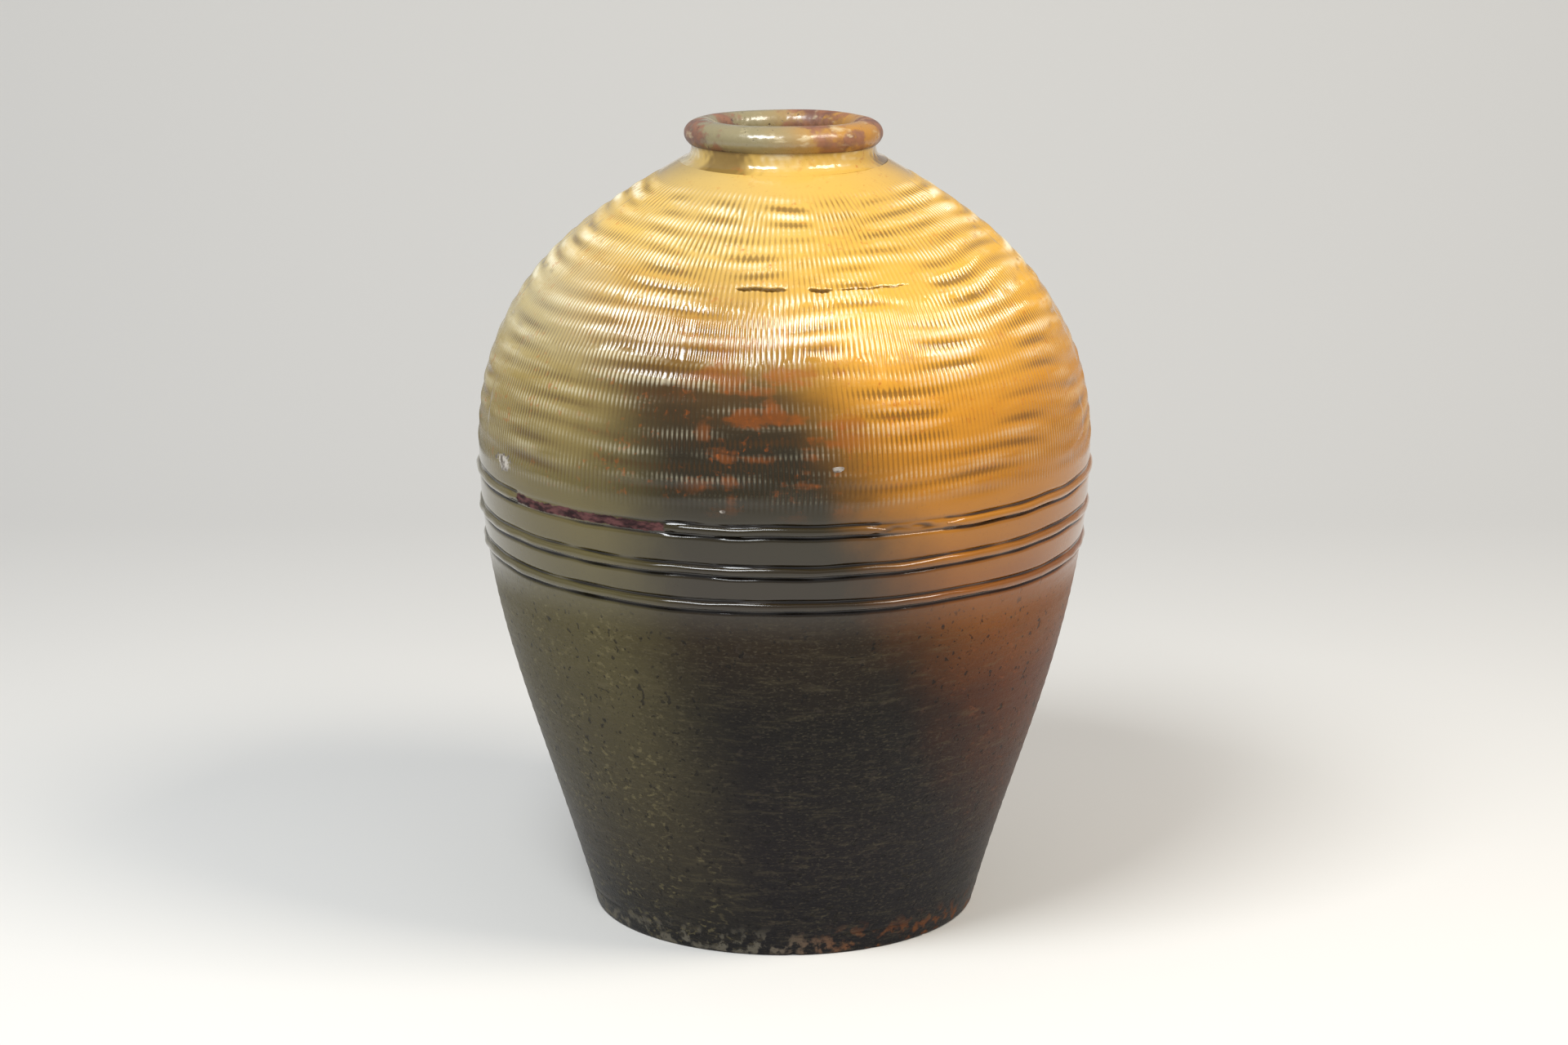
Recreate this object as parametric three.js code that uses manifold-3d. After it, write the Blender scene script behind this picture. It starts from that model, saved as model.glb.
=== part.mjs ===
import * as THREE from 'three';
import { mergeVertices } from 'three/addons/utils/BufferGeometryUtils.js';
import Module from 'manifold-3d';

// A stoneware storage jar: narrow foot, high wide belly, short neck and rolled lip.
// It is thrown in sections that are luted together, with three strips of clay round the belly.
// Millimetres, +Z up, origin at the centre of the underside. Azimuth 0 faces -Y, + turns to +X.

// Outside of the wall, as two curves that meet at the widest point
const FOOT_RADIUS = 112.8;
const FOOT_FLARE = 0.27; // lean of the wall at the foot, outward per unit of height
const BELLY_RADIUS = 179.3;
const BELLY_HEIGHT = 279;
const BELLY_FULLNESS = 85; // how long the wall stays upright above the widest point
const SHOULDER_FULLNESS = 80; // how far the slope at the neck carries down the shoulder
const SHOULDER_SLOPE = THREE.MathUtils.degToRad(30);
const NECK_FOOT_RADIUS = 60;
const NECK_FOOT_HEIGHT = 446;

// Clay thickness and the joints between sections
const WALL = 8.5;
const BASE_THICKNESS = 12;
const FOOT_EDGE = 2.5; // rounding where the foot meets the table
const LUTE_GAP = 0.3;
const SHOULDER_SEAM_DROP = 51.5; // the cracked joint, below the foot of the neck

// Neck and rolled lip
const NECK_RADIUS = 53.3;
const NECK_RISE = 8;
const THROAT_RADIUS = 39;
const LIP_RADIUS = 57.3;
const LIP_RISE = 16;
const LIP_CREST_RADIUS = 46.5;
const LIP_SWELL = 7.5; // height of the lip's widest point above its seat

// Raised strips round the belly, each laid in a shallow bed between two cut grooves
const CORDON_WIDTH = 4.5;
const CORDON_PROUD = 1.6;
const BED_DEPTH = 1.2;
const GROOVE_WIDTH = 2.4;
const GROOVE_DEPTH = 0.9;
const UPPER_CORDON_DROP = 10.3; // below the widest point
const MIDDLE_CORDON_DROP = 22.4; // below the upper strip
const LOWER_CORDON_DROP = 20.3; // below the middle strip

// Azimuths of what is left of the upper strip, in degrees
const FRONT_STRIP_START = -22;
const FRONT_STRIP_END = 18;
const REAR_STRIP_START = 30;
const REAR_STRIP_END = 303;

// Fineness of the faceted surfaces
const SEGMENTS = 48;
const OUTER_STEP = 21;
const INNER_STEP = 34;

const upperCordon = BELLY_HEIGHT - UPPER_CORDON_DROP;
const middleCordon = upperCordon - MIDDLE_CORDON_DROP;
const lowerCordon = middleCordon - LOWER_CORDON_DROP;
const bellySeam = upperCordon - CORDON_WIDTH / 2 - GROOVE_WIDTH / 2;
const shoulderSeam = NECK_FOOT_HEIGHT - SHOULDER_SEAM_DROP;
const lipSeat = NECK_FOOT_HEIGHT + NECK_RISE;

const wasm = await Module();
wasm.setup();

// Outline curves in the (radius, height) plane

const lowerHandle = BELLY_HEIGHT / 3;
const lowerCurve = new THREE.CubicBezierCurve(
  new THREE.Vector2(FOOT_RADIUS, 0),
  new THREE.Vector2(FOOT_RADIUS + FOOT_FLARE * lowerHandle, lowerHandle),
  new THREE.Vector2(BELLY_RADIUS, BELLY_HEIGHT - lowerHandle),
  new THREE.Vector2(BELLY_RADIUS, BELLY_HEIGHT),
);
const upperCurve = new THREE.CubicBezierCurve(
  new THREE.Vector2(BELLY_RADIUS, BELLY_HEIGHT),
  new THREE.Vector2(BELLY_RADIUS, BELLY_HEIGHT + BELLY_FULLNESS),
  new THREE.Vector2(
    NECK_FOOT_RADIUS + SHOULDER_FULLNESS * Math.cos(SHOULDER_SLOPE),
    NECK_FOOT_HEIGHT - SHOULDER_FULLNESS * Math.sin(SHOULDER_SLOPE),
  ),
  new THREE.Vector2(NECK_FOOT_RADIUS, NECK_FOOT_HEIGHT),
);

// The point of the wall at a height of the outside, moved into the clay by a depth
function wallPoint(height, depth = 0) {
  const curve = height < BELLY_HEIGHT ? lowerCurve : upperCurve;
  let low = 0;
  let high = 1;
  for (let halving = 0; halving < 40; halving += 1) {
    const middle = (low + high) / 2;
    if (curve.getPoint(middle).y < height) low = middle;
    else high = middle;
  }
  const point = curve.getPoint(low);
  const along = curve.getTangent(low);
  return new THREE.Vector2(point.x - along.y * depth, point.y + along.x * depth);
}

// Heights and depths of one strip's bed and of the groove above and below it
function cordonCuts(centre) {
  const bedEdge = CORDON_WIDTH / 2;
  const grooveFloor = bedEdge + GROOVE_WIDTH / 2;
  const grooveEdge = bedEdge + GROOVE_WIDTH;
  return [
    [centre - grooveEdge, 0],
    [centre - grooveFloor, GROOVE_DEPTH],
    [centre - bedEdge, 0],
    [centre - bedEdge, BED_DEPTH],
    [centre + bedEdge, BED_DEPTH],
    [centre + bedEdge, 0],
    [centre + grooveFloor, GROOVE_DEPTH],
    [centre + grooveEdge, 0],
  ];
}

// Evenly spaced heights from one end to the other, both ends included
function evenHeights(from, to, step) {
  const count = Math.max(2, Math.ceil((to - from) / step));
  return Array.from({ length: count + 1 }, (_, index) => from + ((to - from) * index) / count);
}

// Outside of one wall section, plain stretches and strip beds together, from bottom to top
function outerFace(from, to, cordons, fromDepth, toDepth) {
  const reach = CORDON_WIDTH / 2 + GROOVE_WIDTH;
  const clearOfCordons = (height) => cordons.every((centre) => Math.abs(height - centre) > reach + 1);
  const plain = evenHeights(from, to, OUTER_STEP).slice(1, -1).filter(clearOfCordons);
  const cuts = cordons.flatMap(cordonCuts).filter(([height]) => height > from && height < to);
  const stations = [...plain.map((height) => [height, 0]), ...cuts];
  stations.sort((first, second) => first[0] - second[0]);
  return [[from, fromDepth], ...stations, [to, toDepth]].map(([height, depth]) => wallPoint(height, depth));
}

// Inside of one wall section, from top to bottom
function innerFace(from, to) {
  return evenHeights(from, to, INNER_STEP).reverse().map((height) => wallPoint(height, WALL));
}

// Solids of revolution

function revolve(outline) {
  const geometry = new THREE.LatheGeometry(outline, SEGMENTS);
  geometry.rotateX(Math.PI / 2);
  return geometry;
}

function revolveRing(outline) {
  return revolve([...outline, outline[0].clone()]);
}

function toSolid(geometry) {
  const bare = geometry.clone();
  bare.deleteAttribute('normal');
  bare.deleteAttribute('uv');
  const merged = mergeVertices(bare, 1e-4);
  const vertProperties = new Float32Array(merged.attributes.position.array);
  const triVerts = new Uint32Array(merged.index.array);
  return new wasm.Manifold(new wasm.Mesh({ numProp: 3, vertProperties, triVerts }));
}

function toGeometry(solid) {
  const mesh = solid.getMesh();
  const geometry = new THREE.BufferGeometry();
  geometry.setAttribute('position', new THREE.BufferAttribute(new Float32Array(mesh.vertProperties), 3));
  geometry.setIndex(new THREE.BufferAttribute(new Uint32Array(mesh.triVerts), 1));
  geometry.computeVertexNormals();
  return geometry;
}

// A thick slice like a piece of cake, from one azimuth to another, that cuts a ring to length
function slice(startDegrees, endDegrees) {
  const reach = BELLY_RADIUS * 1.5;
  const spokes = Math.ceil((endDegrees - startDegrees) / 15);
  const outline = new THREE.Shape();
  outline.moveTo(0, 0);
  for (let spoke = 0; spoke <= spokes; spoke += 1) {
    const azimuth = THREE.MathUtils.degToRad(startDegrees + ((endDegrees - startDegrees) * spoke) / spokes);
    outline.lineTo(reach * Math.sin(azimuth), -reach * Math.cos(azimuth));
  }
  outline.closePath();
  return new THREE.ExtrudeGeometry(outline, { depth: NECK_FOOT_HEIGHT, bevelEnabled: false });
}

// Pieces of the jar

// Thrown disc of the floor, flat below, with a softened edge at the foot
function baseSlab() {
  const outline = [new THREE.Vector2(0, 0)];
  const corner = wallPoint(FOOT_EDGE).x - FOOT_EDGE;
  for (const turn of [0, 0.25, 0.5]) {
    const angle = turn * Math.PI;
    const across = corner + FOOT_EDGE * Math.sin(angle);
    outline.push(new THREE.Vector2(across, FOOT_EDGE * (1 - Math.cos(angle))));
  }
  outline.push(wallPoint(BASE_THICKNESS), new THREE.Vector2(0, BASE_THICKNESS));
  return revolve(outline);
}

// Wall from the floor to the groove under the upper strip, standing flat on the slab
function lowerWall() {
  const from = BASE_THICKNESS + LUTE_GAP;
  const to = bellySeam - LUTE_GAP / 2;
  const inside = innerFace(from, to);
  inside[inside.length - 1].y = from;
  const cordons = [lowerCordon, middleCordon, upperCordon];
  return revolveRing([...outerFace(from, to, cordons, 0, GROOVE_DEPTH), ...inside]);
}

// Wall from that groove over the widest point to the joint in the shoulder
function bellyWall() {
  const from = bellySeam + LUTE_GAP / 2;
  const to = shoulderSeam - LUTE_GAP / 2;
  return revolveRing([...outerFace(from, to, [upperCordon], GROOVE_DEPTH, 0), ...innerFace(from, to)]);
}

// Cap of the shoulder, closing in to the foot of the neck
function shoulderWall() {
  const from = shoulderSeam + LUTE_GAP / 2;
  const to = NECK_FOOT_HEIGHT - LUTE_GAP / 2;
  return revolveRing([...outerFace(from, to, [], 0, 0), ...innerFace(from, to)]);
}

// Short neck, hollow outside, whose inside runs from the shoulder's slope into the throat
function neckCollar() {
  const outerFoot = new THREE.Vector2(NECK_FOOT_RADIUS, NECK_FOOT_HEIGHT + LUTE_GAP);
  const innerFoot = wallPoint(NECK_FOOT_HEIGHT, WALL).add(new THREE.Vector2(0, LUTE_GAP));
  const hollow = new THREE.QuadraticBezierCurve(
    outerFoot,
    new THREE.Vector2(NECK_RADIUS, NECK_FOOT_HEIGHT + NECK_RISE * 0.25),
    new THREE.Vector2(NECK_RADIUS, lipSeat),
  );
  const throatTurn = WALL / 2;
  const slopeRise = (innerFoot.x - THROAT_RADIUS) * Math.tan(SHOULDER_SLOPE);
  const throat = new THREE.QuadraticBezierCurve(
    new THREE.Vector2(THROAT_RADIUS, innerFoot.y + slopeRise + throatTurn / 2),
    new THREE.Vector2(THROAT_RADIUS, innerFoot.y + slopeRise),
    new THREE.Vector2(
      THROAT_RADIUS + throatTurn,
      innerFoot.y + slopeRise - throatTurn * Math.tan(SHOULDER_SLOPE),
    ),
  );
  const top = new THREE.Vector2(THROAT_RADIUS, lipSeat);
  return revolveRing([...hollow.getPoints(5), top, ...throat.getPoints(3), innerFoot]);
}

// Lip rolled outward into a fat ring with a hollow under its edge
function rolledRim() {
  const seat = lipSeat + LUTE_GAP;
  const middle = lipSeat + LIP_SWELL;
  const rise = LIP_RISE - LIP_SWELL;
  const throat = THROAT_RADIUS - LUTE_GAP;
  const underTurn = Math.asin((middle - seat) / rise);
  const outline = [];
  const facets = 13;
  for (let facet = 0; facet <= facets; facet += 1) {
    const angle = -underTurn + ((Math.PI + underTurn) * facet) / facets;
    const across = Math.cos(angle) > 0 ? LIP_RADIUS - LIP_CREST_RADIUS : LIP_CREST_RADIUS - throat;
    outline.push(new THREE.Vector2(LIP_CREST_RADIUS + across * Math.cos(angle), middle + rise * Math.sin(angle)));
  }
  outline.push(new THREE.Vector2(throat, seat));
  return revolveRing(outline);
}

// One strip of clay round the jar: a flat back in its bed and a rounded face that stands proud
function cordonRing(centre) {
  const half = CORDON_WIDTH / 2 - LUTE_GAP;
  const back = BED_DEPTH - LUTE_GAP;
  const facets = 4;
  const outline = [wallPoint(centre - half, back)];
  for (let facet = 0; facet <= facets; facet += 1) {
    const angle = (Math.PI * facet) / facets;
    outline.push(wallPoint(centre - half * Math.cos(angle), -CORDON_PROUD * Math.sin(angle)));
  }
  outline.push(wallPoint(centre + half, back));
  return revolveRing(outline);
}

// A length of the upper strip, where the rest has broken away
function cordonPart(centre, startDegrees, endDegrees) {
  const ring = toSolid(cordonRing(centre));
  return toGeometry(ring.intersect(toSolid(slice(startDegrees, endDegrees))));
}

const jar = new THREE.Group();

function addPiece(name, geometry, color, roughness) {
  const material = new THREE.MeshStandardMaterial({ color, roughness, metalness: 0 });
  const mesh = new THREE.Mesh(geometry, material);
  mesh.name = name;
  jar.add(mesh);
}

addPiece('base_slab', baseSlab(), 0x6b4a30, 0.85);
addPiece('lower_wall', lowerWall(), 0x33261c, 0.6);
addPiece('belly_wall', bellyWall(), 0x4a3618, 0.35);
addPiece('shoulder_wall', shoulderWall(), 0x8a6a2c, 0.3);
addPiece('neck_collar', neckCollar(), 0x7a6c3c, 0.35);
addPiece('rolled_rim', rolledRim(), 0x5c4030, 0.4);
addPiece('cordon_upper_front', cordonPart(upperCordon, FRONT_STRIP_START, FRONT_STRIP_END), 0x6a5420, 0.35);
addPiece('cordon_upper_rear', cordonPart(upperCordon, REAR_STRIP_START, REAR_STRIP_END), 0x6a5420, 0.35);
addPiece('cordon_middle', cordonRing(middleCordon), 0x5e4a20, 0.35);
addPiece('cordon_lower', cordonRing(lowerCordon), 0x5e4a20, 0.4);

export default jar;
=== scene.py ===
import math

import bpy
import numpy as np
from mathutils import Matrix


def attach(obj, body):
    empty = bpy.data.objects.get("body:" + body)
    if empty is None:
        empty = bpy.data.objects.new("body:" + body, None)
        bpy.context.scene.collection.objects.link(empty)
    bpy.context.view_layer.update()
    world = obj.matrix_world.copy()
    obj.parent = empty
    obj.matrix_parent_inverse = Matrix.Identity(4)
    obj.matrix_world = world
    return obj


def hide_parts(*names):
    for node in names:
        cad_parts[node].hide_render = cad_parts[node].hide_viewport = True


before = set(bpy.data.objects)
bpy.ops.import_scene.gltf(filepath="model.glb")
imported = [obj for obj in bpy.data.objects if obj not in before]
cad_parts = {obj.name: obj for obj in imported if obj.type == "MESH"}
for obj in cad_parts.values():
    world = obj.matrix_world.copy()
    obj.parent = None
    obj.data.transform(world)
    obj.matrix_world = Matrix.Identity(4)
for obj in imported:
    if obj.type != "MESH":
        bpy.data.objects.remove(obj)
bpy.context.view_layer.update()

# Lower wall
# The jar's body from the floor up to the groove under the upper strip. It is coarse stoneware clay, thrown
# thick and scraped smooth while it turned. The dark glaze on it is thin, satin and full of burst pits.

MM = 0.001
WALL = 8.5 * MM
FLOOR_TOP = 12 * MM
BELLY_HEIGHT = 279 * MM
BELLY_RADIUS = 179.3 * MM
FOOT_RADIUS = 112.8 * MM
FOOT_FLARE = 0.27
NECK_FOOT = (60 * MM, 446 * MM)
SHOULDER_SLOPE = math.radians(30)
BELLY_FULLNESS = 85 * MM
SHOULDER_FULLNESS = 80 * MM


def bezier(corners, count=700):
    """Cubic curve between two end corners: the corners weighted by (1-t)^3, 3t(1-t)^2, 3t^2(1-t) and t^3."""
    t = np.linspace(0, 1, count)[:, None]
    a, b, c, d = np.array(corners, float)
    return a * (1 - t) ** 3 + 3 * b * t * (1 - t) ** 2 + 3 * c * t**2 * (1 - t) + d * t**3


lower_handle = BELLY_HEIGHT / 3
lower_outline = bezier([
    (FOOT_RADIUS, 0),
    (FOOT_RADIUS + FOOT_FLARE * lower_handle, lower_handle),
    (BELLY_RADIUS, BELLY_HEIGHT - lower_handle),
    (BELLY_RADIUS, BELLY_HEIGHT),
])
upper_outline = bezier([
    (BELLY_RADIUS, BELLY_HEIGHT),
    (BELLY_RADIUS, BELLY_HEIGHT + BELLY_FULLNESS),
    (
        NECK_FOOT[0] + SHOULDER_FULLNESS * math.cos(SHOULDER_SLOPE),
        NECK_FOOT[1] - SHOULDER_FULLNESS * math.sin(SHOULDER_SLOPE),
    ),
    NECK_FOOT,
])
outline_radius, outline_height = np.concatenate([lower_outline, upper_outline[1:]]).T
step_radius = np.gradient(outline_radius)
step_height = np.gradient(outline_height)
step_length = np.hypot(step_radius, step_height)
outline_along = np.cumsum(step_length)
outline_out = step_height / step_length
outline_up = -step_radius / step_length


def wall_at(height, lift=0.0):
    """Radius and height of the wall's outside at a height, moved out along its normal by lift."""
    radius = np.interp(height, outline_height, outline_radius)
    out = np.interp(height, outline_height, outline_out)
    up = np.interp(height, outline_height, outline_up)
    return radius + out * lift, height + up * lift


def swell(azimuth, along, seed, turns, waves, terms=9):
    """Soft unevenness between about -1 and 1: a sum of sines whose azimuth frequency is a whole number up to
    turns and whose frequency along the wall is up to waves a metre, with seeded phases."""
    rng = np.random.default_rng(seed)
    total = 0.0
    for _ in range(terms):
        turn = rng.integers(1, turns + 1)
        wave = rng.uniform(-waves, waves)
        total = total + np.sin(turn * azimuth + 2 * math.pi * wave * along + rng.uniform(0, 2 * math.pi))
    return total / math.sqrt(terms)


def smooth(value, low, high):
    """0 below low, 1 above high, and 3t^2 - 2t^3 between them."""
    t = np.clip((value - low) / (high - low), 0, 1)
    return t * t * (3 - 2 * t)


# Heights of the three strips, which the wall is grooved beside
UPPER_CORDON = 268.7 * MM
MIDDLE_CORDON = 246.3 * MM
LOWER_CORDON = 226.0 * MM
CORDON_WIDTH = 4.5 * MM
CORDON_PROUD = 1.6 * MM
GROOVE_DEPTH = 1.5 * MM
GROOVE_WIDTH = 1.6 * MM
SCAR_DEPTH = 0.9 * MM
FRONT_STRIP = (-22, 18)
REAR_STRIP = (30, 303)


def cordon_height(azimuth, centre):
    """Height of a strip's middle round the jar: its level plus a slow waver and a few short kinks."""
    seed = int(centre / MM)
    slow = swell(azimuth, 0, seed, 4, 0) * 0.75 * MM
    short = swell(azimuth, 0, seed + 1, 26, 0) * 0.34 * MM
    return centre + slow + short


def strip_left(azimuth, centre):
    """1 where the strip is still there and 0 where the upper one has broken away or was never laid."""
    if centre != UPPER_CORDON:
        return np.ones_like(azimuth)
    degrees = np.degrees(azimuth)
    gap_left = smooth(degrees, -58, -56) * (1 - smooth(degrees, -23, -21))
    gap_right = smooth(degrees, 16, 19) * (1 - smooth(degrees, 27, 31))
    return 1 - np.clip(gap_left + gap_right, 0, 1)


def belt_relief(azimuth, height):
    """Grooves above and below each strip, as bell curves of height, the lower one deeper, with a shallow
    ragged scar where the upper strip has broken away."""
    relief = 0.0
    for centre in (UPPER_CORDON, MIDDLE_CORDON, LOWER_CORDON):
        level = height - cordon_height(azimuth, centre)
        reach = CORDON_WIDTH / 2 + GROOVE_WIDTH * 0.6
        left = strip_left(azimuth, centre)
        fade = np.maximum(left, 0.55 if centre == UPPER_CORDON else 1)
        uneven = 1 + 0.25 * swell(azimuth, 0, int(centre / MM) + 5, 40, 0)
        below = np.exp(-(((level + reach) / (GROOVE_WIDTH * 0.75)) ** 2))
        above = np.exp(-(((level - reach) / (GROOVE_WIDTH * 0.7)) ** 2))
        relief = relief - GROOVE_DEPTH * fade * uneven * (below + 0.7 * above)
        band = np.exp(-((level / (CORDON_WIDTH * 0.42)) ** 6))
        ragged = 0.5 + 0.3 * swell(azimuth, height, 61, 90, 260)
        relief = relief - SCAR_DEPTH * (1 - left) * band * ragged
    return relief


THROWING_PITCH = 12.7 * MM
RIB_PITCH = 2.9 * MM
RIB_HEIGHT = 0.85 * MM
WAVE_HEIGHT = 0.26 * MM
STRIKE_HEIGHT = 34 * MM
STRIKES_ROUND = 17
RIBS_FROM = 279 * MM
RIBS_TO = 440 * MM


def paddle_ribs(azimuth, height, along):
    """Upright ribs pressed by a cut paddle: a cosine across each strike, with a phase and a lean of its own,
    faded into the next strike at its edges. A band of strikes is STRIKE_HEIGHT high along the wall."""
    rng = np.random.default_rng(29)
    bands = int(outline_along[-1] / STRIKE_HEIGHT) + 3
    phase = rng.uniform(0, 1, (bands, STRIKES_ROUND))
    lean = rng.normal(0, 0.035, (bands, STRIKES_ROUND))
    offset = rng.uniform(0, 1, bands)
    band_along = (np.arange(bands) + 0.5) * STRIKE_HEIGHT
    band_radius = np.interp(band_along, outline_along, outline_radius)

    def strike(band, cell):
        centre = (cell + 0.5 - offset[band]) * 2 * math.pi / STRIKES_ROUND
        across = (azimuth + math.pi - centre) * band_radius[band]
        rise = along - band_along[band]
        turn = across / RIB_PITCH + phase[band, cell % STRIKES_ROUND]
        turn = turn + lean[band, cell % STRIKES_ROUND] * rise / RIB_PITCH
        return (0.5 + 0.5 * np.cos(2 * math.pi * turn)) ** 1.25

    def strikes_round(band):
        place = (azimuth + math.pi) * STRIKES_ROUND / (2 * math.pi) + offset[band]
        cell = np.floor(place).astype(int)
        share = smooth(place - cell, 0.86, 1.0)
        return strike(band, cell) * (1 - share) + strike(band, cell + 1) * share

    place = along / STRIKE_HEIGHT + 0.1 * swell(azimuth, 0, 31, 9, 0)
    band = np.clip(np.floor(place).astype(int), 0, bands - 2)
    share = smooth(place - band, 0.84, 1.0)
    return strikes_round(band) * (1 - share) + strikes_round(band + 1) * share


CRACK_HEIGHT = 394.5 * MM
CRACK_DEPTH = 2.2 * MM


def crack_relief(azimuth, height):
    """The opened joint in the shoulder: a narrow groove of bell-shaped section that comes and goes."""
    degrees = np.degrees(azimuth)
    left = smooth(degrees, -12, -9.5) * (1 - smooth(degrees, -1, 1))
    right = smooth(degrees, 5.5, 7) * (1 - smooth(degrees, 10, 12))
    trail = 0.3 * smooth(degrees, 12, 16) * (1 - smooth(degrees, 26, 33))
    open_share = np.clip(left + right + trail, 0, 1)
    middle = CRACK_HEIGHT + 0.35 * MM * swell(azimuth, 0, 43, 60, 0)
    half_width = (0.25 + 0.3 * open_share) * MM
    return -CRACK_DEPTH * open_share * np.exp(-(((height - middle) / half_width) ** 2))


LUMP_HEIGHT = 0.55 * MM
SCRAPE_HEIGHT = 0.12 * MM
SCRAPE_PITCH = 5.3 * MM


def wall_lumps(azimuth, along):
    """Slow unevenness of the hand-made wall, which the strips follow too."""
    return LUMP_HEIGHT * swell(azimuth, along, 3, 5, 6)


def wall_relief(azimuth, height):
    """How far the outside stands proud of the plain outline, as slow lumps and, apart from them, the relief
    that the eye reads: throwing waves and pressed ribs above the belt, scraped lines below it, the grooves
    and the crack."""
    along = np.interp(height, outline_height, outline_along)
    lumps = wall_lumps(azimuth, along) * (1 - smooth(height, 430 * MM, 445 * MM))
    drift = 1.5 * swell(azimuth, along, 5, 8, 9)
    broken = np.clip(0.6 + 0.6 * swell(azimuth, along, 7, 16, 20), 0, 1.6)
    wave = np.sin(2 * math.pi * along / THROWING_PITCH + drift)
    ribbed = smooth(height, RIBS_FROM, RIBS_FROM + 7 * MM) * (1 - smooth(height, RIBS_TO - 8 * MM, RIBS_TO))
    patch = np.clip(0.85 + 0.34 * swell(azimuth, along, 11, 9, 14), 0.25, 1.2)
    ribs = (paddle_ribs(azimuth, height, along) - 0.4) * RIB_HEIGHT * patch * (0.72 + 0.28 * wave)
    scrape_drift = 1.4 * swell(azimuth, along, 13, 4, 9)
    scraped = SCRAPE_HEIGHT * np.sin(2 * math.pi * along / SCRAPE_PITCH + scrape_drift)
    below = 1 - smooth(height, 205 * MM, 222 * MM)
    cut = belt_relief(azimuth, height) + crack_relief(azimuth, height)
    return lumps, cut + ribbed * (WAVE_HEIGHT * wave * broken + ribs) + scraped * below


def skin(name, points, relief, around=True):
    """A closed body from a grid of points, columns round the jar by rows round the section. Rows close on
    themselves; columns do too, or else each end column draws to a point at its middle."""
    columns, rows = points.shape[:2]
    vertices = points.reshape(-1, 3)
    heights = np.broadcast_to(relief, (columns, rows)).ravel()
    spans = columns if around else columns - 1
    column, row = np.meshgrid(np.arange(spans), np.arange(rows), indexing="ij")
    corner = (column * rows + row).ravel()
    beside = ((column + 1) % columns * rows + row).ravel()
    beside_up = ((column + 1) % columns * rows + (row + 1) % rows).ravel()
    corner_up = (column * rows + (row + 1) % rows).ravel()
    loops = np.stack([corner, beside, beside_up, corner_up], 1).ravel()
    sizes = np.full(len(corner), 4)
    if not around:
        tips = np.stack([points[0].mean(0), points[-1].mean(0)])
        edge = np.arange(rows)
        first = np.stack([edge, np.roll(edge, -1), np.full(rows, columns * rows)], 1)
        last_edge = edge + (columns - 1) * rows
        last = np.stack([np.roll(last_edge, -1), last_edge, np.full(rows, columns * rows + 1)], 1)
        vertices = np.concatenate([vertices, tips])
        heights = np.concatenate([heights, [0, 0]])
        loops = np.concatenate([loops, first.ravel(), last.ravel()])
        sizes = np.concatenate([sizes, np.full(2 * rows, 3)])
    mesh = bpy.data.meshes.new(name)
    mesh.vertices.add(len(vertices))
    mesh.vertices.foreach_set("co", vertices.astype(np.float32).ravel())
    mesh.loops.add(len(loops))
    mesh.loops.foreach_set("vertex_index", loops.astype(np.int32))
    mesh.polygons.add(len(sizes))
    starts = np.concatenate([[0], np.cumsum(sizes)[:-1]])
    mesh.polygons.foreach_set("loop_start", starts.astype(np.int32))
    mesh.polygons.foreach_set("use_smooth", np.ones(len(sizes), bool))
    mesh.update(calc_edges=True)
    mesh.validate()
    mesh.attributes.new("relief", "FLOAT", "POINT").data.foreach_set("value", heights.astype(np.float32) / MM)
    mesh.set_sharp_from_angle(angle=math.radians(72))
    piece = bpy.data.objects.new(name, mesh)
    bpy.context.scene.collection.objects.link(piece)
    return piece


def wall_ring(name, heights, count, flat_foot=False):
    """One section of the wall: up the outside through the given heights, moved out by wall_relief, and down
    the inside at WALL along the normal. The grid is azimuth by place round that section."""
    inner = np.linspace(heights[-1], heights[0], 5)
    azimuth = np.linspace(-math.pi, math.pi, count, endpoint=False)[:, None]
    lumps, relief = wall_relief(azimuth, heights[None, :])
    outer_radius, outer_height = wall_at(heights[None, :], lumps + relief)
    inner_radius, inner_height = wall_at(inner, -WALL)
    if flat_foot:
        inner_height = inner_height.copy()
        inner_height[-1] = heights[0]
    ones = np.ones((count, 1))
    radius = np.concatenate([outer_radius, inner_radius * ones], 1)
    height = np.concatenate([outer_height, inner_height * ones], 1)
    points = np.stack([radius * np.sin(azimuth), -radius * np.cos(azimuth), height], -1)
    return skin(name, points, np.concatenate([relief, 0 * inner_radius * ones], 1))


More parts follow.
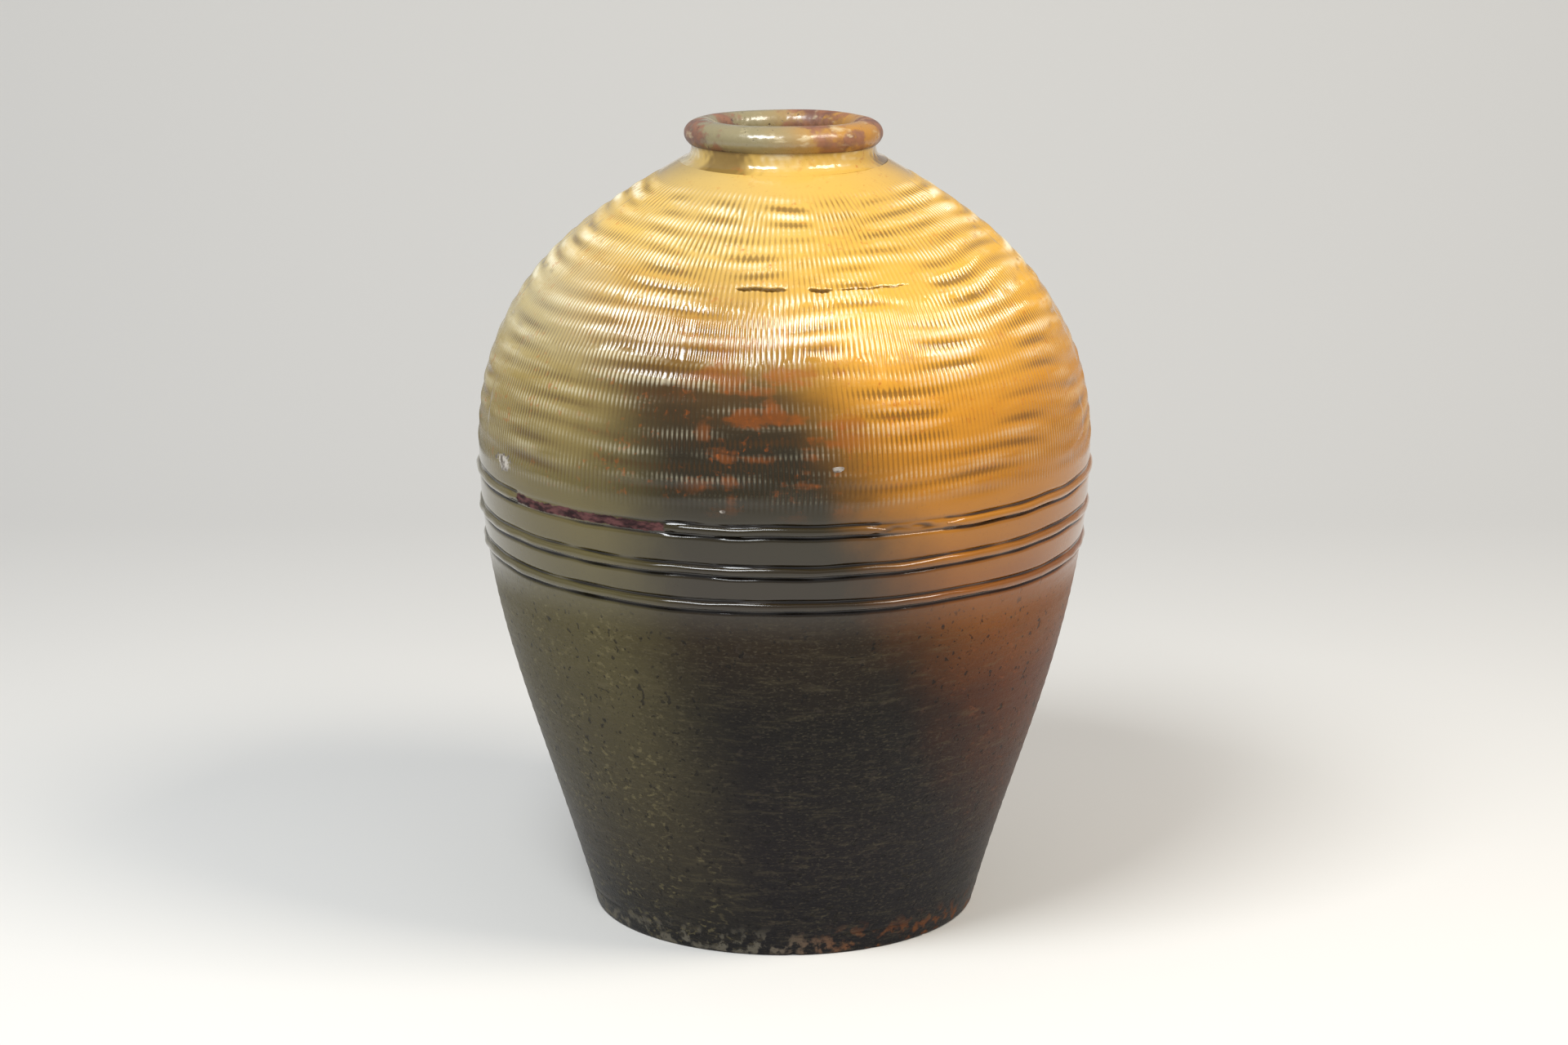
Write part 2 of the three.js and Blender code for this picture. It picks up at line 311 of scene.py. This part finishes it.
class Shade:
    """A shader socket that sums and products can be written with. node() makes any other node."""

    def __init__(self, tree, socket=None):
        self.tree = tree
        self.socket = socket

    def node(self, kind, settings=None, inputs=None, out=0):
        """A node of a type, with its settings and the values or links of its sockets. It gives one output."""
        made = self.tree.nodes.new(kind)
        for key, value in (settings or {}).items():
            if key == "stops":
                while len(made.color_ramp.elements) < len(value):
                    made.color_ramp.elements.new(0.5)
                for element, (place, colour) in zip(made.color_ramp.elements, value):
                    element.position = place
                    element.color = colour
            else:
                setattr(made, key, value)
        for key, value in (inputs or {}).items():
            if isinstance(value, Shade):
                self.tree.links.new(value.socket, made.inputs[key])
            else:
                made.inputs[key].default_value = value
        return Shade(self.tree, made.outputs[out]) if made.outputs else made

    def math(self, operation, *values):
        return self.node("ShaderNodeMath", {"operation": operation}, dict(enumerate(values)))

    def __add__(self, other):
        return self.math("ADD", self, other)

    def __radd__(self, other):
        return self.math("ADD", other, self)

    def __sub__(self, other):
        return self.math("SUBTRACT", self, other)

    def __rsub__(self, other):
        return self.math("SUBTRACT", other, self)

    def __mul__(self, other):
        return self.math("MULTIPLY", self, other)

    def __rmul__(self, other):
        return self.math("MULTIPLY", other, self)

    def __truediv__(self, other):
        return self.math("DIVIDE", self, other)

    def rise(self, low, high):
        """0 below low and 1 above high, with a smooth step between."""
        settings = {"interpolation_type": "SMOOTHSTEP"}
        return self.node("ShaderNodeMapRange", settings, {"Value": self, "From Min": low, "From Max": high})

    def between(self, low, high, edge):
        """1 between low and high and 0 outside, with edges of that width."""
        return self.rise(low - edge, low) * (1 - self.rise(high, high + edge))

    def mix(self, first, second):
        """The first colour where this mask is 0 and the second where it is 1."""
        return self.node("ShaderNodeMix", {"data_type": "RGBA"}, {0: self, 6: first, 7: second}, 2)

    def bump(self, strength, distance, height):
        """The normal bumped by a height."""
        inputs = {"Strength": strength, "Distance": distance, "Height": height}
        return self.node("ShaderNodeBump", None, inputs, "Normal")


def paint(code):
    """Linear colour from a six-digit web colour."""
    parts = [int(code[i : i + 2], 16) / 255 for i in (0, 2, 4)]
    linear = [p / 12.92 if p <= 0.04045 else ((p + 0.055) / 1.055) ** 2.4 for p in parts]
    return (*linear, 1.0)


def new_material(name):
    """An empty node material, with its shader, its output joined, and a Shade to write with."""
    material = bpy.data.materials.new(name)
    material.use_nodes = True
    tree = material.node_tree
    shader = tree.nodes["Principled BSDF"]
    return material, shader, Shade(tree)


def feed(shader, **values):
    """Links or sets sockets of the shader, named with underscores for spaces."""
    for key, value in values.items():
        socket = shader.inputs[key.replace("_", " ")]
        if isinstance(value, Shade):
            value.tree.links.new(value.socket, socket)
        else:
            socket.default_value = value


def grain(shade, place, scale, detail=4.0, stretch=(1, 1, 1), rough=0.55):
    """Noise from 0 to 1 of that scale a metre, stretched by scaling the place first."""
    stretched = shade.node("ShaderNodeVectorMath", {"operation": "MULTIPLY"}, {0: place, 1: stretch})
    inputs = {"Vector": stretched, "Scale": scale, "Detail": detail, "Roughness": rough}
    return shade.node("ShaderNodeTexNoise", None, inputs, "Fac")


# Colours up the wall, as (share of the height, colour), at the left, in front and at the right. They are
# partly the glaze's own and partly painted light: the amber at the right is partly a painted warm lamp tint,
# and the pale cream high on the left shoulder is a painted highlight of the left lamp.
JAR_HEIGHT = 470 * MM
LEFT_COLOURS = [
    (0.0, "141315"), (0.12, "332d20"), (0.3, "48412a"), (0.47, "554d2e"), (0.6, "6a5e36"),
    (0.72, "a08a50"), (0.84, "d2c294"), (0.95, "c6bd98"),
]
FRONT_COLOURS = [
    (0.0, "0f0d12"), (0.15, "171215"), (0.33, "120e0c"), (0.45, "2a1f12"), (0.56, "2b2411"),
    (0.66, "2a2210"), (0.73, "4a3515"), (0.80, "a67a2e"), (0.88, "d3ae5c"), (0.95, "c2a35c"),
]
RIGHT_COLOURS = [
    (0.0, "1a0f0a"), (0.15, "42210f"), (0.33, "5a2c0e"), (0.48, "8a5016"), (0.58, "ad6f1b"),
    (0.7, "cd8a20"), (0.82, "dda63c"), (0.95, "cfa64e"),
]
# Crust and chips, as (x, y, z, radius) in metres; each is CRUST_FLATTENED times as wide as it is high
CRUSTS = [
    (-0.159, -0.083, 0.286, 0.0105), (0.030, -0.1765, 0.304, 0.0034),
    (-0.034, -0.1755, 0.280, 0.0018), (-0.062, -0.136, 0.135, 0.0022),
]
CRUST_FLATTENED = 2.1


def glaze(name):
    """The jar's glaze: colour by height and side with mottling, the sides partly painted with lamp tint and
    highlight, a painted highlight in pale cream on the crests of ribs and waves, darker brown in the relief's
    hollows, painted shade in the grooves beside the strips, glossy above the belt, flecked, dragged and
    pitted below it."""
    material, shader, shade = new_material(name)
    place = shade.node("ShaderNodeTexCoord", None, None, "Object")
    x, y, z = (shade.node("ShaderNodeSeparateXYZ", None, {0: place}, axis) for axis in "XYZ")
    azimuth = shade.math("ARCTAN2", x, y * -1)
    relief = shade.node("ShaderNodeAttribute", {"attribute_name": "relief"}, None, "Fac")
    broad = grain(shade, place, 9, 3)
    mottle = grain(shade, place, 55, 6)
    streak = grain(shade, place, 30, 5, (0.45, 0.45, 2.6))
    speck = grain(shade, place, 420, 3)

    share = z / JAR_HEIGHT + (broad - 0.5) * 0.07 + (streak - 0.5) * 0.05
    columns = []
    for colours in (LEFT_COLOURS, FRONT_COLOURS, RIGHT_COLOURS):
        stops = [(stop, paint(code)) for stop, code in colours]
        columns.append(shade.node("ShaderNodeValToRGB", {"stops": stops}, {0: share}, "Color"))
    drift = x + (broad - 0.5) * 0.05 + (mottle - 0.5) * 0.02
    left = (drift * -1 - (z - 0.12) * 0.22).rise(0.02, 0.09)
    right = (drift - (0.36 - z) * 0.38).rise(-0.02, 0.06)
    # The sides' colours mixed in, with their painted warm lamp tint at the right and painted highlight at the
    # left shoulder.
    colour = right.mix(left.mix(columns[1], columns[0]), columns[2])

    upper = z.rise(0.27, 0.30)
    crest = relief.rise(0.0, 0.5)
    hollow = relief.rise(0.0, -0.38)
    # Painted highlight: pale cream on the crests of the ribs and waves, stronger higher up.
    painted_crest_highlight = upper * crest * streak.rise(0.40, 0.62)
    high = z.rise(0.31, 0.40)
    colour = (painted_crest_highlight * (0.3 + 0.62 * high)).mix(colour, paint("f4ebcc"))
    # Darker brown in the hollows of the relief, above the belt.
    relief_hollow_dark = upper * hollow * (0.5 + 0.3 * mottle)
    colour = relief_hollow_dark.mix(colour, paint("4a2e0c"))
    rust = grain(shade, place, 260, 5).rise(0.56, 0.66) * mottle.rise(0.46, 0.6) * upper * (0.4 + 0.6 * crest)
    colour = (rust * 0.6).mix(colour, paint("b0560f"))
    burnt = (streak + (mottle - 0.5) * 0.9).rise(0.48, 0.64) * z.between(0.30, 0.355, 0.03)
    burnt = burnt * drift.between(-0.035, 0.035, 0.03)
    colour = (burnt * 0.5).mix(colour, paint("8e480a"))

    lower = 1 - z.rise(0.20, 0.23)
    dusty = lower * grain(shade, place, 420, 4, (1, 1, 2.4)).rise(0.52, 0.72) * broad.rise(0.3, 0.6)
    colour = (dusty * 0.3).mix(colour, paint("6f6650"))
    belt = z.between(0.220, 0.274, 0.002)
    # Painted shade: the grooves above and below the strips are painted near black.
    groove = belt * relief.rise(-0.25, -0.9)
    colour = (groove * 0.85).mix(colour, paint("120c08"))

    scar = azimuth.between(math.radians(-57), math.radians(-22), 0.01)
    ragged = (mottle - 0.5) * 0.005 + (speck - 0.5) * 0.0022
    scar = scar * (z + ragged).between(0.2662, 0.2710, 0.0004)
    torn = grain(shade, place, 190, 5, (0.6, 0.6, 1.6)).rise(0.38, 0.62)
    colour = scar.mix(colour, torn.mix(paint("2b1a1c"), paint("64403f")))

    crust = 0.0
    flattened = {0: place, 1: (1, 1, CRUST_FLATTENED)}
    tall = shade.node("ShaderNodeVectorMath", {"operation": "MULTIPLY"}, flattened)
    crumbs = grain(shade, place, 240, 5)
    for spot_x, spot_y, spot_z, radius in CRUSTS:
        spot = (spot_x, spot_y, spot_z * CRUST_FLATTENED)
        away = shade.node("ShaderNodeVectorMath", {"operation": "DISTANCE"}, {0: tall, 1: spot}, "Value")
        crust = crust + (away + (crumbs - 0.5) * radius * 2.2).rise(radius, radius * 0.8)
    colour = (crust * 0.9).mix(colour, crumbs.rise(0.36, 0.62).mix(paint("5f554c"), paint("cdc5ba")))

    foot_worn = z.rise(0.022, 0.004) * grain(shade, place, 150, 5).rise(0.48, 0.62)
    colour = (foot_worn * 0.5).mix(colour, x.rise(-0.02, 0.06).mix(paint("8b8474"), paint("9a5a2a")))

    pits = grain(shade, place, 640, 2).rise(0.62, 0.74) * (lower * 0.8 + 0.2)
    holes = grain(shade, place, 230, 1).rise(0.66, 0.71) * lower
    fleck = grain(shade, place, 300, 5, (0.8, 0.8, 1.3)).rise(0.54, 0.66) * lower * mottle.rise(0.4, 0.6)
    fleck_colour = left.mix(right.mix(paint("3c342c"), paint("86471d")), paint("7d7350"))
    colour = (fleck * 0.5).mix(colour, fleck_colour)
    drag = grain(shade, place, 130, 6, (0.35, 0.35, 2.4), 0.7)
    colour = (pits * 0.6 + holes * 0.7).mix(colour, paint("0e0a08"))
    colour = (drag.rise(0.5, 0.74) * lower * 0.22).mix(colour, paint("6f6549"))
    matt = lower * 0.2 + scar * 0.35 + crust * 0.4 + foot_worn * 0.2
    roughness = 0.24 + (mottle - 0.5) * 0.16 + matt
    bump_height = (streak - 0.5) * 0.25 + (mottle - 0.5) * 0.5 + (speck - 0.5) * (0.12 + lower * 0.3)
    bump_height = bump_height + (drag - 0.5) * lower * 0.9 - pits * 0.45 - holes * 0.8 + crust * crumbs * 0.8
    bump = shade.bump(0.55, 0.0011, bump_height)
    feed(shader, Base_Color=colour, Roughness=roughness, Normal=bump)
    feed(shader, Coat_Weight=(1 - lower * 0.93) * (1 - scar), Coat_Roughness=0.12, Specular_IOR_Level=0.15)
    return material


wall_glaze = glaze("stoneware_glaze")
SEAM_DROP = 1.2 * MM
BELLY_SEAM = UPPER_CORDON - CORDON_WIDTH / 2 - SEAM_DROP
belt_heights = np.arange(214, 265, 0.62) * MM
plain_heights = np.linspace(FLOOR_TOP, belt_heights[0] - 2.8 * MM, 66)
lower_heights = np.concatenate([plain_heights, belt_heights, [BELLY_SEAM]])
lower_wall = wall_ring("lower_wall_thrown", lower_heights, 560, flat_foot=True)
lower_wall.data.materials.append(wall_glaze)
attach(lower_wall, "root")
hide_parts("lower_wall")

# Floor of the jar
# A thrown disc of the same clay under the wall. It is bare below and stands flat on the table; its edge is
# rounded, chipped and crusted where it stuck to the kiln shelf.

FOOT_EDGE = 2.5 * MM
CHIP_DEPTH = 1.6 * MM
CHIP_REACH = 4 * MM


def floor_disc(name):
    """Disc with a rounded edge: a small flat hub, out along the underside, a quarter round, up the wall's
    outline and back over the top, with the edge moved by chips that deepen with a seeded unevenness."""
    count = 560
    azimuth = np.linspace(-math.pi, math.pi, count, endpoint=False)[:, None]
    turn = np.linspace(0, math.pi / 2, 5)
    corner = wall_at(FOOT_EDGE)[0] - FOOT_EDGE
    edge_radius = corner + FOOT_EDGE * np.sin(turn)
    edge_height = FOOT_EDGE * (1 - np.cos(turn))
    side_height = np.linspace(FOOT_EDGE, FLOOR_TOP, 7)[1:]
    side_radius = wall_at(side_height)[0]
    radius = np.concatenate([[0.5 * MM, 60 * MM, 100 * MM], edge_radius, side_radius, [60 * MM, 0.5 * MM]])
    height = np.concatenate([[0, 0, 0], edge_height, side_height, [FLOOR_TOP, FLOOR_TOP]])
    side = np.concatenate([[0, 0, 0], np.ones(11), [0, 0]])
    chips = smooth(swell(azimuth, height / 3, 71, 60, 60), 0.7, 1.9)
    relief = -CHIP_DEPTH * chips * np.exp(-((height / CHIP_REACH) ** 2)) * side
    relief = relief + side * sum(wall_relief(azimuth, height[None, :])) * smooth(height, 0, FLOOR_TOP)
    pushed = radius + relief
    points = np.stack([pushed * np.sin(azimuth), -pushed * np.cos(azimuth), height + 0 * pushed], -1)
    return skin(name, points, relief)


def bare_clay(name):
    """Fired brown clay: speckled colour, rough, with grit and small holes as bump."""
    material, shader, shade = new_material(name)
    place = shade.node("ShaderNodeTexCoord", None, None, "Object")
    grit = grain(shade, place, 380, 5)
    cloud = grain(shade, place, 28, 4)
    colour = cloud.rise(0.3, 0.7).mix(paint("5e4030"), paint("7d5a42"))
    colour = (grit.rise(0.6, 0.7) * 0.7).mix(colour, paint("2a1c16"))
    bump = shade.bump(0.6, 0.001, grit)
    feed(shader, Base_Color=colour, Roughness=0.8 + (cloud - 0.5) * 0.2, Normal=bump)
    return material


floor_piece = floor_disc("base_slab_thrown")
floor_piece.data.materials.append(wall_glaze)
floor_piece.data.materials.append(bare_clay("bare_stoneware"))
face_centres = np.zeros(len(floor_piece.data.polygons) * 3, np.float32)
floor_piece.data.polygons.foreach_get("center", face_centres)
underside = face_centres.reshape(-1, 3)[:, 2] < 0.4 * MM
floor_piece.data.polygons.foreach_set("material_index", underside.astype(np.int32))
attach(floor_piece, "root")
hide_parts("base_slab")

# Belly and shoulder
# Thrown as one with the wall or luted on in thick rings, then beaten with a paddle cut with upright ribs
# while the clay was soft. The throwing waves still show under the ribs, and a joint has opened high up.

RIBBED_COUNT = 1552
fine_cordon = np.arange(BELLY_SEAM / MM, 275, 0.62) * MM
belly_rings = [
    ("belly_wall_lower", np.concatenate([fine_cordon, np.linspace(276 * MM, 330 * MM, 31)]), "belly_wall"),
    (
        "belly_wall_upper",
        np.concatenate([np.linspace(330 * MM, 391 * MM, 40), np.linspace(391.5 * MM, CRACK_HEIGHT, 8)]),
        None,
    ),
    (
        "shoulder_wall_cap",
        np.concatenate([np.linspace(CRACK_HEIGHT, 397.5 * MM, 8), np.linspace(398.4 * MM, NECK_FOOT[1], 44)]),
        "shoulder_wall",
    ),
]
for ring_name, ring_heights, node in belly_rings:
    ring = wall_ring(ring_name, ring_heights, RIBBED_COUNT)
    ring.data.materials.append(wall_glaze)
    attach(ring, "root")
    if node:
        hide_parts(node)

# Strips round the belly
# Thin rolls of clay laid on the turning jar, pressed down and trimmed above and below with a pointed tool.
# The upper one has broken away left of the front, which bares the clay, and was smoothed flush right of it.

STRIP_TUCK = 1.6 * MM


def cordon(name, centre, span):
    """A strip: at each azimuth a flattened half round over the wall, its width and its height changing with
    seeded unevenness, with a back STRIP_TUCK inside the wall. An open strip tapers to its ends."""
    start, end = (math.radians(side) for side in span)
    whole = abs(end - start - 2 * math.pi) < 1e-6
    count = max(60, int((end - start) / (2 * math.pi) * 720))
    azimuth = np.linspace(start, end, count, endpoint=not whole)[:, None]
    wrapped = (azimuth + math.pi) % (2 * math.pi) - math.pi
    seed = int(centre / MM) + 17
    taper = 1.0
    if not whole:
        from_end = np.minimum(azimuth - start, end - azimuth)
        taper = 0.25 + 0.75 * smooth(from_end, 0, math.radians(3.5))
    half = CORDON_WIDTH / 2 * (1 + 0.12 * swell(wrapped, 0, seed, 30, 0)) * taper
    proud = CORDON_PROUD * (1 + 0.16 * swell(wrapped, 0, seed + 1, 50, 0)) * taper
    turn = np.linspace(0, math.pi, 11)[None, :]
    level = cordon_height(wrapped, centre) - half * np.cos(turn)
    lift = proud * np.sin(turn) ** 0.7 - 0.5 * MM * (1 - np.sin(turn))
    back_level = cordon_height(wrapped, centre) + half * np.array([[0.9, -0.9]])
    back_lift = -STRIP_TUCK * np.ones_like(back_level)
    level = np.concatenate([level, back_level], 1)
    lift = np.concatenate([lift, back_lift], 1)
    base = wall_lumps(wrapped, np.interp(level, outline_height, outline_along))
    radius, height = wall_at(level, lift + base)
    points = np.stack([radius * np.sin(azimuth), -radius * np.cos(azimuth), height], -1)
    return skin(name, points, np.clip(lift, 0, 1), around=whole)


cordons = [
    ("cordon_upper_front_strip", UPPER_CORDON, FRONT_STRIP, "cordon_upper_front"),
    ("cordon_upper_rear_strip", UPPER_CORDON, REAR_STRIP, "cordon_upper_rear"),
    ("cordon_middle_strip", MIDDLE_CORDON, (-180, 180), "cordon_middle"),
    ("cordon_lower_strip", LOWER_CORDON, (-180, 180), "cordon_lower"),
]
for strip_name, centre, span, node in cordons:
    strip = cordon(strip_name, centre, span)
    strip.data.materials.append(wall_glaze)
    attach(strip, "root")
    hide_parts(node)

# Neck and rolled lip
# The neck is a short hollow collar luted on the shoulder. The lip is its top edge turned outward and rolled
# into a fat ring, which leans back a little. The glaze is worn off its crest in purple-brown patches.

NECK_RADIUS = 53.3 * MM
LIP_SEAT = 454 * MM
THROAT_RADIUS = 39 * MM
LIP_RADIUS = 57.3 * MM
LIP_CREST_RADIUS = 46.5 * MM
LIP_SWELL = 7.5 * MM
LIP_RISE = 16 * MM
LIP_LEAN = math.radians(2.6)


def turned_ring(name, radius, height, unevenness, count=480):
    """A small ring from a closed section, up the outside and down the inside, that leans back more and more
    from the foot of the neck to the lip, with seeded unevenness outward."""
    azimuth = np.linspace(-math.pi, math.pi, count, endpoint=False)[:, None]
    push = unevenness * swell(azimuth, height[None, :], 83, 7, 25)
    rough = 0.06 * MM * swell(azimuth, height[None, :], 89, 70, 220)
    pushed = radius + push + rough
    across, front = pushed * np.sin(azimuth), -pushed * np.cos(azimuth)
    lean = smooth(height, NECK_FOOT[1], LIP_SEAT) * math.tan(LIP_LEAN)
    lifted = height + 0.35 * unevenness * swell(azimuth, 0, 97, 5, 0) * (lean > 0) - front * lean
    return skin(name, np.stack([across, front, lifted], -1), push + rough)


hollow = bezier([
    NECK_FOOT,
    (NECK_RADIUS + 1.5 * MM, NECK_FOOT[1] + 2 * MM),
    (NECK_RADIUS, NECK_FOOT[1] + 4 * MM),
    (NECK_RADIUS, LIP_SEAT + 1.5 * MM),
], 12)
inside_foot = np.array(wall_at(NECK_FOOT[1], -WALL))
throat = bezier([
    (THROAT_RADIUS, LIP_SEAT + 1.5 * MM),
    (THROAT_RADIUS, LIP_SEAT - 6 * MM),
    (THROAT_RADIUS + 5 * MM, inside_foot[1] + 8 * MM),
    inside_foot,
], 10)
neck_section = np.concatenate([hollow, throat])
neck = turned_ring("neck_collar_thrown", neck_section[:, 0], neck_section[:, 1], 0.3 * MM)
neck.data.materials.append(wall_glaze)
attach(neck, "root")
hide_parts("neck_collar")

lip_middle = LIP_SEAT + LIP_SWELL
lip_turn = np.linspace(-math.radians(62), math.radians(180 + 55), 46)
lip_across = np.where(np.cos(lip_turn) > 0, LIP_RADIUS - LIP_CREST_RADIUS, LIP_CREST_RADIUS - THROAT_RADIUS)
lip_radius = LIP_CREST_RADIUS + lip_across * np.cos(lip_turn)
lip_height = lip_middle + (LIP_RISE - LIP_SWELL) * np.sin(lip_turn)


def lip_glaze(name):
    """The lip's finish: olive to amber glaze, the amber partly a painted warm lamp tint, worn through in
    patches to purple-brown clay, with painted shade dark under the roll and pale narrow streaks round the
    roll."""
    material, shader, shade = new_material(name)
    place = shade.node("ShaderNodeTexCoord", None, None, "Object")
    x, z = (shade.node("ShaderNodeSeparateXYZ", None, {0: place}, axis) for axis in "XZ")
    cloud = grain(shade, place, 26, 5)
    mottle = grain(shade, place, 130, 6)
    streak = grain(shade, place, 60, 4, (1, 1, 3))
    # Grey olive at the left to amber at the right; the amber is partly a painted warm lamp tint.
    side = (x + (cloud - 0.5) * 0.06).rise(-0.03, 0.045)
    colour = side.mix(paint("8d8261"), paint("b57f2e"))
    worn = (cloud + (mottle - 0.5) * 0.35).rise(0.46, 0.56)
    colour = (worn * 0.85).mix(colour, mottle.rise(0.35, 0.65).mix(paint("5d3b3c"), paint("8d5c46")))
    colour = (streak.rise(0.58, 0.7) * 0.5).mix(colour, paint("d9c9a2"))
    # Painted shade: dark under the roll.
    under = z.rise(0.4585, 0.4545)
    colour = (under * 0.8).mix(colour, paint("1c110a"))
    chips = grain(shade, place, 300, 3).rise(0.66, 0.72)
    colour = (chips * 0.6).mix(colour, paint("2c1a14"))
    height = (mottle - 0.5) * 0.6 + (streak - 0.5) * 0.3 - chips * 0.4
    bump = shade.bump(0.5, 0.001, height)
    feed(shader, Base_Color=colour, Roughness=0.27 + worn * 0.22 + (mottle - 0.5) * 0.15, Normal=bump)
    feed(shader, Coat_Weight=0.5 * (1 - worn * 0.7), Coat_Roughness=0.1, IOR=1.52)
    return material


lip = turned_ring("rolled_rim_lip", lip_radius, lip_height, 0.45 * MM)
lip.data.materials.append(lip_glaze("lip_glaze"))
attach(lip, "root")
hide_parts("rolled_rim")

# Floor and backdrop
# One pale sheet that lies flat under the jar and curves up behind it, in front of the pale room.


def sweep(name):
    """A sheet: x across, and a path that runs level towards the back and turns up on part of a circle, low
    enough to look over from behind."""
    turn = np.linspace(0, math.radians(62), 24)
    bend, start = 0.9, 0.9
    depth = np.concatenate([[-5.0, start], start + bend * np.sin(turn[1:])])
    rise = np.concatenate([[0.0, 0.0], bend * (1 - np.cos(turn[1:]))])
    across = np.array([-6.0, 6.0])[:, None]
    points = np.stack([across + 0 * depth, depth + 0 * across, rise + 0 * across], -1)
    rows = len(depth)
    row = np.arange(rows - 1)
    faces = np.stack([row, row + rows, row + rows + 1, row + 1], 1)
    mesh = bpy.data.meshes.new(name)
    mesh.from_pydata(points.reshape(-1, 3).tolist(), [], faces.tolist())
    mesh.polygons.foreach_set("use_smooth", np.ones(len(faces), bool))
    sheet = bpy.data.objects.new(name, mesh)
    bpy.context.scene.collection.objects.link(sheet)
    return sheet


backdrop = sweep("studio_sweep")
sweep_paper, sweep_shader, _ = new_material("sweep_paper")
feed(sweep_shader, Base_Color=paint("e6e4df"), Roughness=0.9)
backdrop.data.materials.append(sweep_paper)

# Light
# A large cool soft light high at the left front, a warmer one high at the right, and an even pale room, which
# the camera sees a little brighter than it lights.

ROOM_LIGHT = 0.36
ROOM_SEEN = 0.4


def soft_light(name, azimuth, elevation, distance, size, power, colour):
    """A soft light at an azimuth from the front and a height angle, turned to the shoulder of the jar."""
    lamp = bpy.data.lights.new(name, "AREA")
    lamp.shape = "RECTANGLE"
    lamp.size, lamp.size_y = size
    lamp.energy = power
    lamp.color = colour
    turn, lift = math.radians(azimuth), math.radians(elevation)
    away = (math.sin(turn) * math.cos(lift), -math.cos(turn) * math.cos(lift), math.sin(lift))
    light = bpy.data.objects.new(name, lamp)
    light.location = [part * distance for part in away]
    light.location[2] += 0.33
    light.rotation_euler = (math.pi / 2 - lift, 0, turn)
    bpy.context.scene.collection.objects.link(light)


soft_light("key_left", -34, 52, 1.7, (0.8, 0.55), 27, (0.95, 0.98, 1.0))
soft_light("key_right", 62, 48, 1.7, (0.7, 0.55), 20, (1.0, 0.93, 0.82))
world = bpy.data.worlds.new("pale_room")
bpy.context.scene.world = world
world.use_nodes = True
background = world.node_tree.nodes["Background"]
background.inputs["Color"].default_value = (0.9, 0.93, 1.0, 1)
seen = Shade(world.node_tree).node("ShaderNodeLightPath", None, None, "Is Camera Ray")
world.node_tree.links.new((ROOM_LIGHT + seen * ROOM_SEEN).socket, background.inputs["Strength"])

# Camera
# Level with the top of the jar and tilted down a little, as the photograph was taken.

camera_data = bpy.data.cameras.new("camera")
camera_data.sensor_width = 36
camera_data.lens = 94.5
camera = bpy.data.objects.new("camera", camera_data)
camera.location = (0, -2.355, 0.8283)
camera.rotation_euler = (1.3218, 0, 0)
bpy.context.scene.collection.objects.link(camera)
bpy.context.scene.camera = camera
bpy.context.scene.view_settings.view_transform = "Standard"
